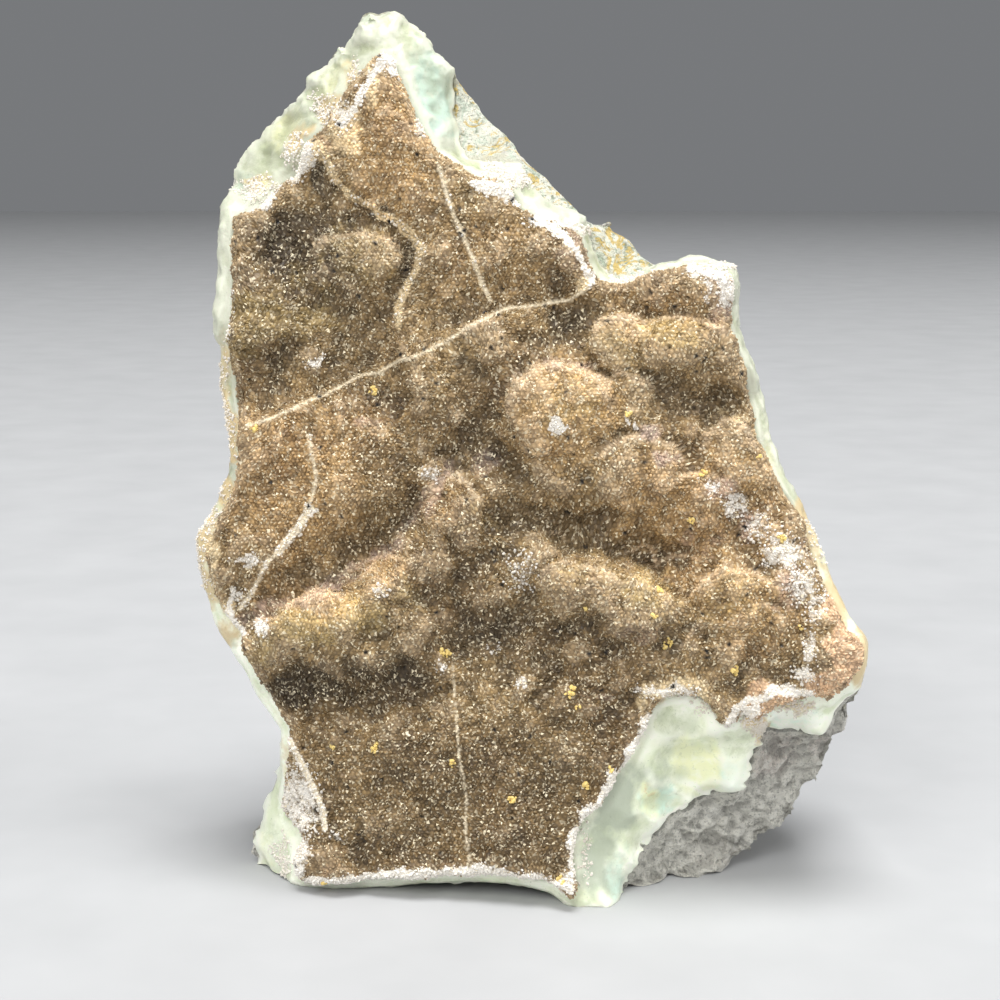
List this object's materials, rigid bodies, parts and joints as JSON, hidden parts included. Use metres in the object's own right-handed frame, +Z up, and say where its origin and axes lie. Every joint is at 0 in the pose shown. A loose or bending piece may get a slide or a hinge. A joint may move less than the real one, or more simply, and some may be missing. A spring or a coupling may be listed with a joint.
{
  "type": "standing geode piece",
  "caption": "Broken piece of geode wall standing on end: brown sugary quartz druse over pale green chalcedony on grey host rock.",
  "frame": {"origin": "Middle of the footprint, on the surface the piece stands on", "axes": "+Z up the piece to its peak, the crystal face looks along -Y, +X to the right as seen from in front of it"},
  "size_m": [0.0948, 0.05, 0.1219],
  "materials": {
    "druzy_crust": "sparkling sugar-grain quartz",
    "chalcedony_layer": "waxy",
    "host_rock": "rough"
  },
  "bodies": {
    "root": {"druzy_crust": "druzy_crust", "chalcedony_layer": "chalcedony_layer", "host_rock": "host_rock"}
  },
  "joints": []
}
